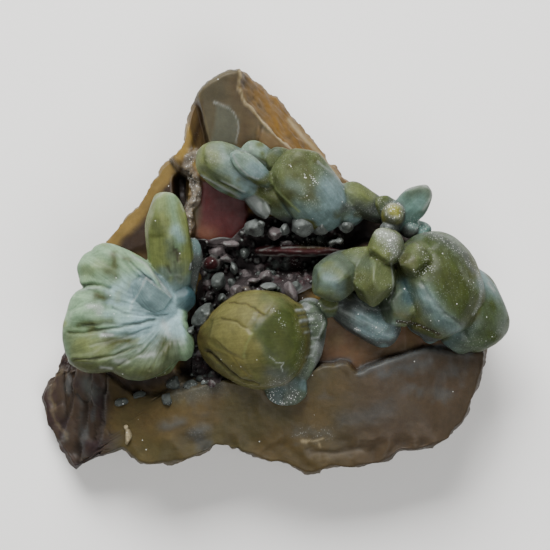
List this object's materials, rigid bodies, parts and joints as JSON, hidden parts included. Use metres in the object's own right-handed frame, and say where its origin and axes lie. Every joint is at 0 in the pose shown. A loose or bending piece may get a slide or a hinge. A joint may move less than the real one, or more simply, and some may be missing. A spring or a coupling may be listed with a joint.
{
  "type": "mineral specimen of plumbogummite pseudomorph crystals on stone",
  "caption": "Hand specimen of blunt green and blue-grey pseudomorph crystals on a broken wedge of brown waxy stone, lying on its flat back.",
  "frame": {"origin": "on the flat of the stone's back, under the middle of the specimen", "axes": "+Z out of the crystal face, away from the surface it lies on; +Y towards the stone's peak; +X towards the dark green group, along the length"},
  "size_m": [0.0671, 0.0572, 0.0246],
  "materials": {
    "stone": "waxy brown chalcedony-like stone, satin, with orange and grey-brown breaks",
    "pale_crystal": "waxy translucent crystal, pale blue at the root and green at the tips",
    "olive_crystal": "waxy translucent olive to dark green crystal with a blue-grey skirt",
    "green_crystal": "waxy translucent green crystal mottled with blue-grey",
    "dark_crystal": "waxy translucent dark green to grey-blue crystal with a sugary dusting",
    "dark_crust": "dark grey-purple botryoidal crust, dull to satin"
  },
  "bodies": {
    "root": {"stone": "stone", "left_fan": "pale_crystal", "centre_dome": "olive_crystal", "upper_group": "green_crystal", "wing_group": "green_crystal", "right_group": "dark_crystal", "hollow_crust": "dark_crust"}
  },
  "joints": []
}
